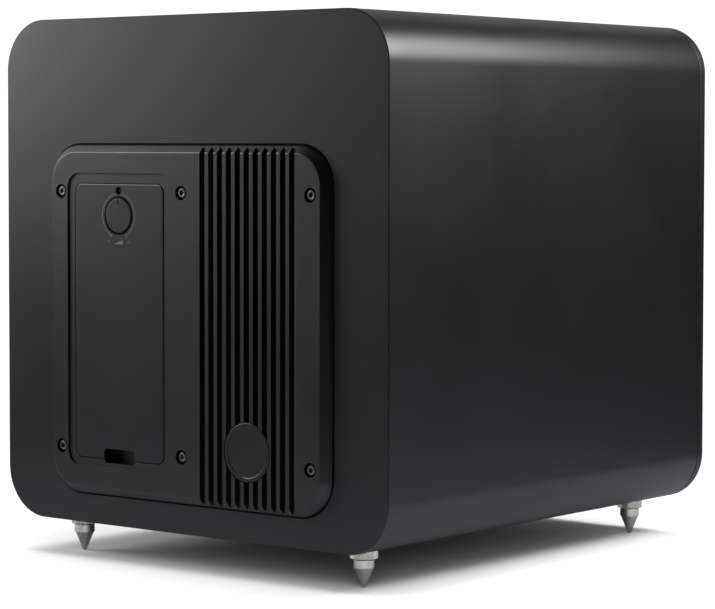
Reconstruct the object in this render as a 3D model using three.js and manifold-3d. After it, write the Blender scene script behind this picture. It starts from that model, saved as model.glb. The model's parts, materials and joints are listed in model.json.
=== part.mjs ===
// Compact powered subwoofer: rounded cabinet on four adjustable spikes, amplifier plate with
// cooling slots and a lift-off cover at the rear (+Y), 8-inch driver in the front baffle (-Y).
// Millimetres, +Z up. Origin: centre of the bounding box in X and Y, spike tips at Z = 0.
import * as THREE from 'three';
import { mergeVertices } from 'three/addons/utils/BufferGeometryUtils.js';
import Module from 'manifold-3d';

// ---------------------------------------------------------------- driving dimensions
const FOOT = 20.4;                 // spike tip to cabinet underside
const CAB_W = 270, CAB_H = 274, CAB_D = 295, CAB_R = 27.4, WALL = 15;
const YR = 145;                    // rear face of the cabinet
const YF = YR - CAB_D;             // front face of the baffle
const BAF_EDGE = 6, BAF_PLUG = 16; // baffle: visible edge, part inside the tube
const GAP = 0.3;                   // clearance between neighbouring solids

const PL_W = 198.4, PL_H = 189.6, PL_R = 21, PL_Z = FOOT + 111.1;  // amplifier plate outline
const PL_FACE = YR + 5, PL_CH = 4.4;          // plate face plane, edge slope inset
const IN_W = 161, IN_H = 167, IN_Y = YR - 8;  // part of the plate inside the cut-out
const COL = 45.7;                             // x of the control column; slots sit at -COL
const REC_W = 75.5, REC_H = 158.4, REC_R = 8, REC_DEEP = 2.4;
const WELL_W = 57, WELL_LO = FOOT + 42, WELL_HI = FOOT + 183, WELL_R = 4;
const COV_W = 65.2, COV_LO = FOOT + 36.7, COV_HI = FOOT + 184.7, COV_C = 3;
const NOTCH_W = 22.6, NOTCH_LO = FOOT + 34.4, NOTCH_HI = FOOT + 42.2, NOTCH_Y = YR - 4;
const SLOT_N = 11, SLOT_P = 6.13, SLOT_W = 3.65, SLOT_DEEP = 2.8;
const SCR_X = 88.3, SCR_Z = 69.4;             // plate screws, about the plate centre
const KNOB_R = 9.9, KNOB_Z = FOOT + 167.8, LED_Z = FOOT + 181.1;
const BADGE_R = 15.4, BADGE_Z = FOOT + 47.5;
const SPK_X = 100, SPK_YR = YR - 24, SPK_YF = YF + 24;

const DZ = FOOT + CAB_H / 2;       // driver axis height
const DY = YF + 6;                 // front plane of the driver flange
const DRV_R = 110, CUT_R = 96.5, DSCR_R = 105.2;

// ---------------------------------------------------------------- solid helpers
const wasm = await Module();
wasm.setup();

function clean(geometry) {
  let g = geometry.clone();
  for (const k of Object.keys(g.attributes)) if (k !== 'position') g.deleteAttribute(k);
  g = mergeVertices(g, 1e-4);
  const p = g.attributes.position, src = g.index.array, idx = [];
  for (let i = 0; i < src.length; i += 3) {
    const [a, b, c] = [src[i], src[i + 1], src[i + 2]];
    if (a !== b && b !== c && a !== c) idx.push(a, b, c);
  }
  let vol = 0;
  const A = new THREE.Vector3(), B = new THREE.Vector3(), C = new THREE.Vector3();
  for (let i = 0; i < idx.length; i += 3) {
    A.fromBufferAttribute(p, idx[i]); B.fromBufferAttribute(p, idx[i + 1]); C.fromBufferAttribute(p, idx[i + 2]);
    vol += A.dot(B.cross(C));
  }
  if (vol < 0) for (let i = 0; i < idx.length; i += 3) [idx[i + 1], idx[i + 2]] = [idx[i + 2], idx[i + 1]];
  const out = new THREE.BufferGeometry();
  out.setAttribute('position', p.clone());
  out.setIndex(idx);
  return out;
}
function solid(geometry) {
  const g = clean(geometry);
  return new wasm.Manifold(new wasm.Mesh({
    numProp: 3,
    vertProperties: Float32Array.from(g.attributes.position.array),
    triVerts: Uint32Array.from(g.index.array),
  }));
}
function geometryOf(m) {
  const mesh = m.getMesh();
  const g = new THREE.BufferGeometry();
  const n = mesh.vertProperties.length / mesh.numProp, pos = new Float32Array(n * 3);
  for (let i = 0; i < n; i++) for (let k = 0; k < 3; k++) pos[i * 3 + k] = mesh.vertProperties[i * mesh.numProp + k];
  g.setAttribute('position', new THREE.BufferAttribute(pos, 3));
  g.setIndex(Array.from(mesh.triVerts));
  return g;
}
const sub = (a, ...bs) => bs.reduce((m, b) => m.subtract(b), a);
const join = (a, ...bs) => bs.reduce((m, b) => m.add(b), a);

// outlines in the X-Z plane
function roundRect(w, h, r, cx = 0, cz = 0, n = 8) {
  const pts = [];
  for (const [sx, sz, a0] of [[1, 1, 0], [-1, 1, 90], [-1, -1, 180], [1, -1, 270]])
    for (let k = 0; k <= n; k++) {
      const a = (a0 + 90 * k / n) * Math.PI / 180;
      pts.push(new THREE.Vector2(cx + sx * (w / 2 - r) + r * Math.cos(a), cz + sz * (h / 2 - r) + r * Math.sin(a)));
    }
  return pts;
}
function cutRect(w, h, c, cx = 0, cz = 0) { return roundRect(w, h, c, cx, cz, 1); }
// straight prism of an X-Z outline between two Y planes
function prism(pts, y0, y1) {
  const g = new THREE.ExtrudeGeometry(new THREE.Shape(pts), { depth: y1 - y0, bevelEnabled: false, steps: 1 });
  g.applyMatrix4(new THREE.Matrix4().set(1, 0, 0, 0, 0, 0, 1, y0, 0, 1, 0, 0, 0, 0, 0, 1));
  return g;
}
// outlines of equal point count joined plane by plane along Y, with flat end caps
function loft(sections) {
  const n = sections[0].pts.length, pos = [], idx = [];
  for (const s of sections) for (const p of s.pts) pos.push(p.x, s.y, p.y);
  for (let s = 0; s < sections.length - 1; s++)
    for (let i = 0; i < n; i++) {
      const a = s * n + i, b = s * n + (i + 1) % n, c = a + n, d = b + n;
      idx.push(a, b, d, a, d, c);
    }
  const cap = THREE.ShapeUtils.triangulateShape(sections[0].pts, []);
  const last = (sections.length - 1) * n;
  for (const [a, b, c] of cap) idx.push(c, b, a);
  for (const [a, b, c] of cap) idx.push(a + last, b + last, c + last);
  const g = new THREE.BufferGeometry();
  g.setAttribute('position', new THREE.Float32BufferAttribute(pos, 3));
  g.setIndex(idx);
  return g;
}
function box(x0, x1, y0, y1, z0, z1) {
  return new THREE.BoxGeometry(x1 - x0, y1 - y0, z1 - z0).translate((x0 + x1) / 2, (y0 + y1) / 2, (z0 + z1) / 2);
}
// solid of revolution about an axis parallel to Y through (x, z); profile points are [radius, y]
function turnY(profile, seg, x = 0, z = 0, phase = 0) {
  const pts = profile.map(([r, y]) => new THREE.Vector2(r, y));
  if (profile[0][0] > 0 || profile[profile.length - 1][0] > 0) pts.push(pts[0].clone());
  return new THREE.LatheGeometry(pts, seg, phase).translate(x, 0, z);
}
// the same about a vertical axis through (x, y); profile points are [radius, z]
function turnZ(profile, seg, x = 0, y = 0) {
  const pts = profile.map(([r, z]) => new THREE.Vector2(r, z));
  if (profile[0][0] > 0 || profile[profile.length - 1][0] > 0) pts.push(pts[0].clone());
  const g = new THREE.LatheGeometry(pts, seg);
  g.applyMatrix4(new THREE.Matrix4().set(1, 0, 0, x, 0, 0, 1, y, 0, 1, 0, 0, 0, 0, 0, 1));
  return g;
}
const rodY = (r, y0, y1, x, z, seg = 24, phase = 0) => turnY([[0, y0], [r, y0], [r, y1], [0, y1]], seg, x, z, phase);

// ---------------------------------------------------------------- scene graph
const object = new THREE.Group();
const mat = (color, roughness, metalness = 0) => new THREE.MeshStandardMaterial({ color, roughness, metalness });
const M = {
  cabinet: mat(0x2c2c2e, 0.45), baffle: mat(0x262628, 0.5), plate: mat(0x333335, 0.5, 0.4), cover: mat(0x36363a, 0.5, 0.3),
  screw: mat(0x1a1a1b, 0.4, 0.7), knob: mat(0x151515, 0.45), steel: mat(0xb8b4ac, 0.35, 1), badge: mat(0x6d6d70, 0.35, 1),
  rubber: mat(0x141414, 0.7), frame: mat(0x1d1d1f, 0.5, 0.6), magnet: mat(0x3a3a3c, 0.8), cone: mat(0x202022, 0.6, 0.3),
  board: mat(0x1f4a2c, 0.6), copper: mat(0xa45a2a, 0.4, 0.8), plastic: mat(0x171719, 0.55), lens: mat(0x3a0a0a, 0.2),
  mdf: mat(0x8a6a48, 0.9), foam: mat(0x5a5a5c, 0.95), spider: mat(0xb08a3a, 0.85), nickel: mat(0xc9c9c6, 0.3, 1),
};
function add(name, g, material) {
  const m = new THREE.Mesh(g instanceof THREE.BufferGeometry ? clean(g) : geometryOf(g), material);
  m.name = name;
  object.add(m);
  return m;
}

// ---------------------------------------------------------------- cabinet
{
  const cz = FOOT + CAB_H / 2;
  let s = solid(prism(roundRect(CAB_W, CAB_H, CAB_R, 0, cz, 10), YF + BAF_EDGE + GAP, YR));
  s = s.subtract(solid(prism(roundRect(CAB_W - 2 * WALL, CAB_H - 2 * WALL, CAB_R - WALL, 0, cz, 5), YF, YR - WALL)));
  s = s.subtract(solid(prism(roundRect(IN_W + 3, IN_H + 3, 6, 0, PL_Z, 3), YR - WALL - 1, YR + 1)));
  for (const sx of [-1, 1]) {
    for (const y of [SPK_YR, SPK_YF]) s = s.subtract(solid(turnZ([[0, FOOT - 1], [4.5, FOOT - 1], [4.5, FOOT + 13], [0, FOOT + 13]], 12, sx * SPK_X, y)));
    for (const sz of [-1, 1]) s = s.subtract(solid(rodY(1.8, YR - 13, YR + 1, sx * SCR_X, PL_Z + sz * SCR_Z, 8)));
  }
  add('cabinet_shell', s, M.cabinet);

  let b = solid(prism(roundRect(CAB_W, CAB_H, CAB_R, 0, cz, 10), YF, YF + BAF_EDGE));
  b = b.add(solid(prism(roundRect(CAB_W - 2 * WALL - 0.8, CAB_H - 2 * WALL - 0.8, CAB_R - WALL - 0.4, 0, cz, 5), YF + 1, YF + BAF_EDGE + BAF_PLUG)));
  b = b.subtract(solid(turnY([[0, YF - 1], [DRV_R + 2, YF - 1], [DRV_R + 2, YF], [DRV_R + 0.5, YF + 1.5], [DRV_R + 0.5, DY + 5 + GAP], [CUT_R, DY + 5 + GAP],
    [CUT_R, YF + 30], [0, YF + 30]], 48, 0, DZ)));
  for (let k = 0; k < 6; k++) {
    const a = (30 + 60 * k) * Math.PI / 180;
    b = b.subtract(solid(rodY(2.7, DY + 2, DY + 5 + GAP + 9, DSCR_R * Math.cos(a), DZ + DSCR_R * Math.sin(a), 8)));
  }
  add('front_baffle', b, M.baffle);

  const brace = sub(solid(prism(roundRect(CAB_W - 2 * WALL - 0.8, CAB_H - 2 * WALL - 0.8, CAB_R - WALL - 0.4, 0, cz, 5), 10, 25)),
    solid(prism(roundRect(176, 180, 44, 0, cz, 6), 9, 26)));
  add('cabinet_brace', brace, M.mdf);
  add('damping_pad_top', box(-104, 104, -112, 5, FOOT + CAB_H - WALL - GAP - 14, FOOT + CAB_H - WALL - GAP), M.foam);
}

// ---------------------------------------------------------------- amplifier plate
{
  const back = YR + 0.4;
  let p = solid(loft([
    { y: back, pts: roundRect(PL_W, PL_H, PL_R, 0, PL_Z, 9) },
    { y: back + 0.7, pts: roundRect(PL_W, PL_H, PL_R, 0, PL_Z, 9) },
    { y: PL_FACE, pts: roundRect(PL_W - 2 * PL_CH, PL_H - 2 * PL_CH, PL_R - PL_CH, 0, PL_Z, 9) },
  ]));
  p = p.add(solid(prism(roundRect(IN_W, IN_H, 5, 0, PL_Z, 3), IN_Y, back + 1)));
  p = p.subtract(solid(prism(roundRect(REC_W, REC_H, REC_R, COL, PL_Z, 6), PL_FACE - REC_DEEP, PL_FACE + 1)));
  p = p.subtract(solid(prism(roundRect(WELL_W, WELL_HI - WELL_LO, WELL_R, COL, (WELL_LO + WELL_HI) / 2, 3), IN_Y - 1, PL_FACE + 1)));
  p = p.subtract(solid(prism(roundRect(NOTCH_W, WELL_LO + 6 - NOTCH_LO, 2.2, COL, (WELL_LO + 6 + NOTCH_LO) / 2, 3), NOTCH_Y, PL_FACE + 1)));
  for (let k = 0; k < SLOT_N; k++) {
    const x = -COL + (k - (SLOT_N - 1) / 2) * SLOT_P;
    p = p.subtract(solid(box(x - SLOT_W / 2, x + SLOT_W / 2, PL_FACE - SLOT_DEEP, PL_FACE + 1, PL_Z - 110, PL_Z + 110)));
  }
  p = p.subtract(solid(rodY(BADGE_R + 0.4, PL_FACE - 1.6, PL_FACE + 1, -COL, BADGE_Z, 32)));
  // groove for the seal, in the back of the overhanging rim
  p = p.subtract(sub(solid(prism(roundRect(PL_W - 10, PL_H - 10, PL_R - 5, 0, PL_Z, 6), back - 1, back + 1.6)),
    solid(prism(roundRect(PL_W - 17, PL_H - 17, PL_R - 8.5, 0, PL_Z, 6), back - 2, back + 2))));
  for (const sx of [-1, 0, 1]) for (const sz of [-1, 1]) {
    const x = sx * SCR_X, z = PL_Z + sz * SCR_Z;
    p = p.subtract(solid(rodY(3.5, PL_FACE - 3.8, PL_FACE + 1, x, z, 16)));
    p = p.subtract(solid(rodY(1.8, IN_Y - 1, PL_FACE, x, z, 8)));
  }
  add('amp_plate', p, M.plate);

  add('amp_gasket', sub(solid(prism(roundRect(PL_W - 10.8, PL_H - 10.8, PL_R - 5.4, 0, PL_Z, 6), YR + GAP, back + 1.3)),
    solid(prism(roundRect(PL_W - 16.2, PL_H - 16.2, PL_R - 8.1, 0, PL_Z, 6), YR, back + 2))), M.rubber);

  let n = 1;
  for (const sz of [1, -1]) for (const sx of [-1, 0, 1]) {
    const x = sx * SCR_X, z = PL_Z + sz * SCR_Z, end = sx === 0 ? IN_Y + 1 : YR - 12;
    const s = sub(solid(turnY([[0, end], [1.5, end], [1.5, PL_FACE - 3.5], [2.75, PL_FACE - 3.5], [2.75, PL_FACE - 0.8], [0, PL_FACE - 0.8]], 10, x, z)),
      solid(rodY(1.45, PL_FACE - 2.4, PL_FACE, x, z, 6)));
    add(`amp_screw_${n++}`, s, M.screw);
  }
  add('badge_disc', turnY([[0, PL_FACE - 1.3], [BADGE_R, PL_FACE - 1.3], [BADGE_R, PL_FACE - 0.5], [BADGE_R - 0.5, PL_FACE - 0.05], [0, PL_FACE - 0.05]], 32, -COL, BADGE_Z), M.badge);
}

// ---------------------------------------------------------------- lift-off cover
{
  const back = PL_FACE - REC_DEEP + GAP, face = YR + 4, czc = (COV_LO + COV_HI) / 2, ch = COV_HI - COV_LO;
  let c = solid(loft([
    { y: back, pts: cutRect(COV_W, ch, COV_C, COL, czc) },
    { y: face - 0.4, pts: cutRect(COV_W, ch, COV_C, COL, czc) },
    { y: face, pts: cutRect(COV_W - 0.8, ch - 0.8, COV_C - 0.2, COL, czc) },
  ]));
  c = c.add(solid(prism(roundRect(WELL_W - 1, WELL_HI - WELL_LO - 1, WELL_R - 0.5, COL, (WELL_LO + WELL_HI) / 2, 3), back - 2, back + 0.5)));
  for (const z of [FOOT + 58, FOOT + 148]) c = c.add(solid(rodY(5.6, back - 4.4, back, COL, z, 20)));
  for (const z of [FOOT + 58, FOOT + 148]) c = c.subtract(solid(rodY(4.3, back - 5, back - 1.4, COL, z, 20)));
  c = c.subtract(solid(rodY(KNOB_R + 1, back - 5, face + 1, COL, KNOB_Z, 40)));
  c = c.subtract(solid(rodY(2.05, back - 5, face + 1, COL, LED_Z, 14)));
  c = c.subtract(solid(prism(roundRect(NOTCH_W, 2 * (NOTCH_HI - COV_LO), 2.2, COL, COV_LO, 3), back - 5, face + 1)));
  add('cover_panel', c, M.cover);
  add('cover_magnet_lower', rodY(4, back - 4.3, back - 1.7, COL, FOOT + 58, 20), M.nickel);
  add('cover_magnet_upper', rodY(4, back - 4.3, back - 1.7, COL, FOOT + 148, 20), M.nickel);
}

// ---------------------------------------------------------------- connector well and its fittings
const FLOOR = 100, SHELF = 127;    // front planes of the deep floor and of the upper shelf
const IEC = [COL + 11, FOOT + 62], RCK = [COL - 16, FOOT + 62];
const RCA_Z = FOOT + 92, XO = [COL - 12, FOOT + 122], PH = [COL + 14, FOOT + 122];
{
  const y1 = IN_Y - GAP;
  const x0 = COL - WELL_W / 2, x1 = COL + WELL_W / 2;
  let w = solid(box(x0 - 2, x1 + 2, FLOOR - 2, y1, WELL_LO - 2, FOOT + 148));
  w = w.add(solid(box(x0 - 2, x1 + 2, SHELF - 2, y1, FOOT + 140, WELL_HI + 2)));
  w = w.add(solid(box(x0 - 3.2, x1 + 3.2, y1 - 2, y1, WELL_LO - 3.2, WELL_HI + 3.2)));
  w = w.subtract(solid(box(x0, x1, FLOOR, y1 + 1, WELL_LO, FOOT + 146)));
  w = w.subtract(solid(box(x0, x1, SHELF, y1 + 1, WELL_LO, WELL_HI)));
  w = w.subtract(solid(box(COL - 24.4, COL + 26.4, FLOOR - 3, FLOOR + 1, FOOT + 49.2, FOOT + 74.8)));
  for (const dx of [-16, 16]) w = w.subtract(solid(rodY(4.4, FLOOR - 3, FLOOR + 1, COL + dx, RCA_Z, 16)));
  w = w.subtract(solid(rodY(3.9, FLOOR - 3, FLOOR + 1, COL, RCA_Z, 16)));
  w = w.subtract(solid(rodY(3.5, FLOOR - 3, FLOOR + 1, XO[0], XO[1], 16)));
  w = w.subtract(solid(box(PH[0] - 2.4, PH[0] + 2.4, FLOOR - 3, FLOOR + 1, PH[1] - 5.6, PH[1] + 5.6)));
  w = w.subtract(solid(rodY(3.5, SHELF - 3, SHELF + 1, COL, KNOB_Z, 16)));
  w = w.subtract(solid(rodY(2.1, SHELF - 3, SHELF + 1, COL, LED_Z, 12)));
  add('control_well', w, M.plastic);

  // mains inlet module: face flange, body, socket cavity with three pins, opening for the rocker
  let m = solid(box(COL - 26.4, COL + 27.4, FLOOR + GAP, FLOOR + 3, FOOT + 47.2, FOOT + 76.8));
  m = m.add(solid(box(COL - 24, COL + 26, FLOOR - 14, FLOOR + 1, FOOT + 49.6, FOOT + 74.4)));
  const cav = [[-12, -8.2], [12, -8.2], [12, 4.2], [8, 8.2], [-8, 8.2], [-12, 4.2]].map(([x, z]) => new THREE.Vector2(IEC[0] + x, IEC[1] + z));
  m = m.subtract(solid(prism(cav, FLOOR - 12, FLOOR + 4)));
  for (const [dx, dz] of [[0, 3.2], [-7, -1.2], [7, -1.2]]) m = m.add(solid(box(IEC[0] + dx - 1, IEC[0] + dx + 1, FLOOR - 13, FLOOR + 1, IEC[1] + dz - 2, IEC[1] + dz + 2)));
  m = m.subtract(solid(box(RCK[0] - 6, RCK[0] + 6, FLOOR - 9.5, FLOOR + 4, RCK[1] - 10.2, RCK[1] + 10.2)));
  add('mains_inlet', m, M.plastic);

  // rocker: two faces at an angle over a rounded keel, tilted to its first stop
  const pv = FLOOR - 1, shape = new THREE.Shape();
  const pr = [[-8.6, 2.6], [0, 4.9], [8.6, 2.6], [8.9, 0.4], [4.6, -4.4], [0, -5.6], [-4.6, -4.4], [-8.9, 0.4]];
  const t = -8 * Math.PI / 180;
  pr.forEach(([a, b], i) => {
    const u = a * Math.cos(t) - b * Math.sin(t), v = a * Math.sin(t) + b * Math.cos(t);
    i ? shape.lineTo(u, v) : shape.moveTo(u, v);
  });
  const rk = new THREE.ExtrudeGeometry(shape, { depth: 11, bevelEnabled: false });
  rk.applyMatrix4(new THREE.Matrix4().set(0, 0, 1, RCK[0] - 5.5, 0, 1, 0, pv, 1, 0, 0, RCK[1], 0, 0, 0, 1));
  add('power_rocker', rk, M.plastic);

  const rca = (x) => turnY([[1.6, FLOOR - 10], [4.1, FLOOR - 10], [4.1, FLOOR + GAP], [6, FLOOR + GAP], [6, FLOOR + 2], [4.15, FLOOR + 2], [4.15, FLOOR + 11], [1.6, FLOOR + 11]], 14, x, RCA_Z);
  add('rca_jack_left', rca(COL + 16), M.nickel);
  add('rca_jack_right', rca(COL - 16), M.nickel);
  add('trigger_jack', turnY([[1.8, FLOOR - 12], [3.6, FLOOR - 12], [3.6, FLOOR + GAP], [4.8, FLOOR + GAP], [4.8, FLOOR + 2.4], [1.8, FLOOR + 2.4]], 14, COL, RCA_Z), M.nickel);

  add('crossover_pot', join(solid(box(XO[0] - 8, XO[0] + 8, FLOOR - 10, FLOOR - 2.3, XO[1] - 9, XO[1] + 8)), solid(rodY(3, FLOOR - 4, FLOOR + 9, XO[0], XO[1], 16))), M.steel);
  add('crossover_knob', turnY([[0, FLOOR + 12], [0, FLOOR + 9.4], [3.3, FLOOR + 9.4], [3.3, FLOOR + 0.8], [7.6, FLOOR + 0.8], [7.2, FLOOR + 11.4], [6.6, FLOOR + 12]], 24, XO[0], XO[1]), M.knob);
  add('phase_switch', box(PH[0] - 4, PH[0] + 4, FLOOR - 9, FLOOR - 2.4, PH[1] - 9, PH[1] + 9), M.steel);
  add('phase_slider', box(PH[0] - 1.9, PH[0] + 1.9, FLOOR - 1.9, FLOOR + 4, PH[1] - 5.1, PH[1] - 0.1), M.plastic);

  add('level_pot', join(solid(box(COL - 8, COL + 8, SHELF - 11, SHELF - 2.3, KNOB_Z - 9, KNOB_Z + 8)), solid(rodY(3, SHELF - 4, SHELF + 16, COL, KNOB_Z, 16))), M.steel);
  add('level_knob', sub(solid(turnY([[0, YR + 4.6], [0, SHELF + 16.4], [3.3, SHELF + 16.4], [3.3, SHELF + 3], [KNOB_R - 1.2, SHELF + 3], [KNOB_R, SHELF + 6], [KNOB_R, YR + 3.9], [KNOB_R - 0.6, YR + 4.6]], 32, COL, KNOB_Z)),
    solid(box(COL - 0.7, COL + 0.7, YR + 3.6, YR + 6, KNOB_Z + 6.2, KNOB_Z + 11))), M.knob);
  add('led_lens', turnY([[0, SHELF - 2], [1.75, SHELF - 2], [1.75, YR + 2.6], [1.1, YR + 3.1], [0, YR + 3.3]], 14, COL, LED_Z), M.lens);
}

// ---------------------------------------------------------------- amplifier behind the plate
{
  const y1 = IN_Y - GAP, y0 = 78;
  let e = solid(box(-80, 80, y0, y1, PL_Z - 83, PL_Z + 83));
  e = e.subtract(solid(box(-78, 78, y0 + 2, y1 + 1, PL_Z - 81, PL_Z + 81)));
  e = e.subtract(solid(rodY(2.6, y0 - 1, y0 + 3, -40, FOOT + 44, 12)));
  add('amp_enclosure', e, M.frame);
  add('amp_pcb', box(-74, 8, 126, 127.6, FOOT + 34, FOOT + 188), M.board);
  add('mains_transformer', turnY([[9, 90], [33, 90], [36, 93], [36, 119], [33, 122], [9, 122]], 24, -34, FOOT + 82), M.copper);
  add('reservoir_capacitor', turnY([[0, 92], [11, 92], [11.5, 92.6], [11.5, 125.4], [0, 125.4]], 24, -50, FOOT + 146), M.plastic);
}

// ---------------------------------------------------------------- driver (y measured back from the flange face)
{
  const T = (pts, seg, phase = 0) => turnY(pts.map(([r, y]) => [r, DY + y]), seg, 0, DZ, phase);
  let b = solid(T([[100.3, 0], [DRV_R, 0], [DRV_R, 5], [96, 5], [96, 10], [62, 62], [62, 67], [32, 67], [32, 63.5], [58, 63.5], [58, 61],
    [61, 49], [61, 46], [69.5, 46], [93, 10], [93, 4.5], [100.3, 4.5]], 36));
  for (let k = 0; k < 6; k++) {
    const g = new THREE.BoxGeometry(52, 20, 60).translate(0, DY + 23.5, 96).rotateY(k * Math.PI / 3).translate(0, 0, DZ);
    b = b.subtract(solid(g));
  }
  for (let k = 0; k < 6; k++) {
    const a = (30 + 60 * k) * Math.PI / 180;
    b = b.subtract(solid(rodY(2.7, DY - 1, DY + 6, DSCR_R * Math.cos(a), DZ + DSCR_R * Math.sin(a), 8)));
  }
  add('driver_basket', b, M.frame);
  add('magnet_top_plate', T([[26.9, 67.3], [50, 67.3], [50, 75.3], [26.9, 75.3]], 24), M.steel);
  add('driver_magnet', T([[30, 75.6], [57, 75.6], [57, 93.6], [30, 93.6]], 24), M.magnet);
  add('magnet_yoke', T([[8, 101.9], [50, 101.9], [50, 93.9], [24.6, 93.9], [24.6, 67.3], [8, 67.3]], 24), M.steel);
  add('voice_coil', T([[25.1, 31.4], [26.2, 31.4], [26.2, 80], [25.1, 80]], 24), M.copper);
  add('cone', T([[75.2, 4.6], [75.2, 6.2], [72, 6.2], [26.6, 34], [26.6, 31.8], [71.4, 4.6]], 40), M.cone);
  const cap = [];
  for (let k = 0; k <= 4; k++) cap.push([38 * Math.sin(k * 22.5 * Math.PI / 180), 24 - 10 * Math.cos(k * 22.5 * Math.PI / 180)]);
  const under = cap.slice().reverse().map(([r, y]) => [r * 0.955, y + 1.1]);
  add('dust_cap', T([...cap, ...under.slice(0, -1), [0, 15.1]], 28), M.cone);
  // half-roll surround: flat outer edge in the seat, roll inwards to just outside the cone
  const top = [], low = [];
  for (let k = 0; k <= 6; k++) {
    const a = Math.PI * k / 6;
    top.push([84.9 + 9.1 * Math.cos(a), 3.4 - 8.8 * Math.sin(a)]);
    low.push([84.9 + 8.2 * Math.cos(a), 4.2 - 8.6 * Math.sin(a)]);
  }
  add('surround', T([[99.8, 4.2], [99.8, 3.4], ...top, ...low.reverse()], 40), M.rubber);
  add('driver_gasket', T([[94.6, 0.4], [99.8, 0.4], [99.8, 3.1], [94.6, 3.1]], 40), M.rubber);
  const zig = [[69, 44.9], [65.5, 44.9]];
  for (let k = 0; k < 6; k++) zig.push([61.6 - k * 5.5, k % 2 ? 45.5 : 43.2]);
  zig.push([27, 44.9]);
  const zag = zig.slice().reverse().map(([r, y]) => [r, y + 0.8]);
  add('spider', T([...zig, ...zag], 24), M.spider);
  add('driver_terminal', join(solid(box(-12, 12, DY + 40, DY + 48, DZ - 92, DZ - 76.8)), solid(box(-8, -6, DY + 46, DY + 56, DZ - 88, DZ - 84)),
    solid(box(6, 8, DY + 46, DY + 56, DZ - 88, DZ - 84))), M.plastic);
  for (let k = 0; k < 6; k++) {
    const a = (30 + 60 * k) * Math.PI / 180, x = DSCR_R * Math.cos(a), z = DZ + DSCR_R * Math.sin(a);
    const s = sub(solid(turnY([[0, DY - 3], [3.9, DY - 3], [3.9, DY - GAP], [2.2, DY - GAP], [2.2, DY + 13], [0, DY + 13]], 10, x, z)),
      solid(rodY(1.85, DY - 4, DY - 1.2, x, z, 6)));
    add(`driver_screw_${k + 1}`, s, M.screw);
  }
  // twin lead inside the cabinet, from the amplifier case to the driver terminal
  const route = new THREE.CatmullRomCurve3([[-40, 77, FOOT + 44], [-40, 62, FOOT + 43], [-36, 38, FOOT + 50], [-28, 4, FOOT + 56],
    [-16, -40, FOOT + 52], [-6, -76, FOOT + 52], [0, -92, FOOT + 52]].map((p) => new THREE.Vector3(...p)));
  const ring = [];
  for (let k = 0; k < 8; k++) ring.push(new THREE.Vector2(2 * Math.cos(k * Math.PI / 4), 2 * Math.sin(k * Math.PI / 4)));
  add('speaker_lead', new THREE.ExtrudeGeometry(new THREE.Shape(ring), { extrudePath: route, steps: 20, bevelEnabled: false }), M.plastic);
}

// ---------------------------------------------------------------- levelling spikes and their lock nuts
{
  const feet = { front_left: [SPK_X, SPK_YF], front_right: [-SPK_X, SPK_YF], rear_left: [SPK_X, SPK_YR], rear_right: [-SPK_X, SPK_YR] };
  for (const [name, [x, y]] of Object.entries(feet)) {
    add(`spike_${name}`, turnZ([[0, 0], [0.8, 0], [4.9, 9.9], [5.5, 10.4], [5.5, 14.9], [4, 14.9], [4, FOOT + 12.4], [0, FOOT + 12.4]], 16, x, y), M.steel);
    add(`lock_nut_${name}`, turnZ([[4.4, 15.2], [7.1, 15.2], [7.1, FOOT - GAP], [4.4, FOOT - GAP]], 16, x, y), M.steel);
  }
}

export default object;
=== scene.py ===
# Powered subwoofer: the finished look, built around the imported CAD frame. Lengths below are in millimetres.
import json
import math

import bmesh
import bpy
import numpy as np
from mathutils import Matrix, Vector, noise

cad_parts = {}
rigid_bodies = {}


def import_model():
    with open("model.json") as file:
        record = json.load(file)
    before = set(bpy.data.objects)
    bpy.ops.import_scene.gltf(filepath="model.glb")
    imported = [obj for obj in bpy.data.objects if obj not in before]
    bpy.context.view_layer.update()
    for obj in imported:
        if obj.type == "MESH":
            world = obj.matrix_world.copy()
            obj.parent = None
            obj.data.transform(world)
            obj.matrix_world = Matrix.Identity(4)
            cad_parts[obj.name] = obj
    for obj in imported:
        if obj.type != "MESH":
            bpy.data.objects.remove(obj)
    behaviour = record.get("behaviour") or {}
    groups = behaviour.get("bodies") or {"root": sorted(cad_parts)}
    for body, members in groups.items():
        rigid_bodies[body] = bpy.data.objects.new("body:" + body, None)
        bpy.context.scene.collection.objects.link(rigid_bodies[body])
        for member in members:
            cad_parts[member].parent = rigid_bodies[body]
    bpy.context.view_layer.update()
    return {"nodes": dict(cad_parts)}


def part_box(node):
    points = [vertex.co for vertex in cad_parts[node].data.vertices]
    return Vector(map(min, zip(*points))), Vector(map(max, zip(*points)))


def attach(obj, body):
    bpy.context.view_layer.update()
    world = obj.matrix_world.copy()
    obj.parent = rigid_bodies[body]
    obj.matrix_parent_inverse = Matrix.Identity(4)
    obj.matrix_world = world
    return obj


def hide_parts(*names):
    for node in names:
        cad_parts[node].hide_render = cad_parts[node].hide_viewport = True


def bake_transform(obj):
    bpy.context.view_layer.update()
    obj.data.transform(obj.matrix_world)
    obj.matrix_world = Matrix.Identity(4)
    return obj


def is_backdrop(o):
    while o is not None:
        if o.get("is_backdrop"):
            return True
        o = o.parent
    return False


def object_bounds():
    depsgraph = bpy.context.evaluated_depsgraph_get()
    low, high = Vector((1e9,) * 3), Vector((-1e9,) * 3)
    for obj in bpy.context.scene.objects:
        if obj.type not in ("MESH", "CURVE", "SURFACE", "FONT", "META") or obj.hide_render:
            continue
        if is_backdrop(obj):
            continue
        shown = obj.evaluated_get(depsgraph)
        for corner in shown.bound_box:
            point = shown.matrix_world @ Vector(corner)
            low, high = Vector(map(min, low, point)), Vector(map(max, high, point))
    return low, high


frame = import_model()
scene = bpy.context.scene
NODES = frame["nodes"]
MM = 0.001


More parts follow.
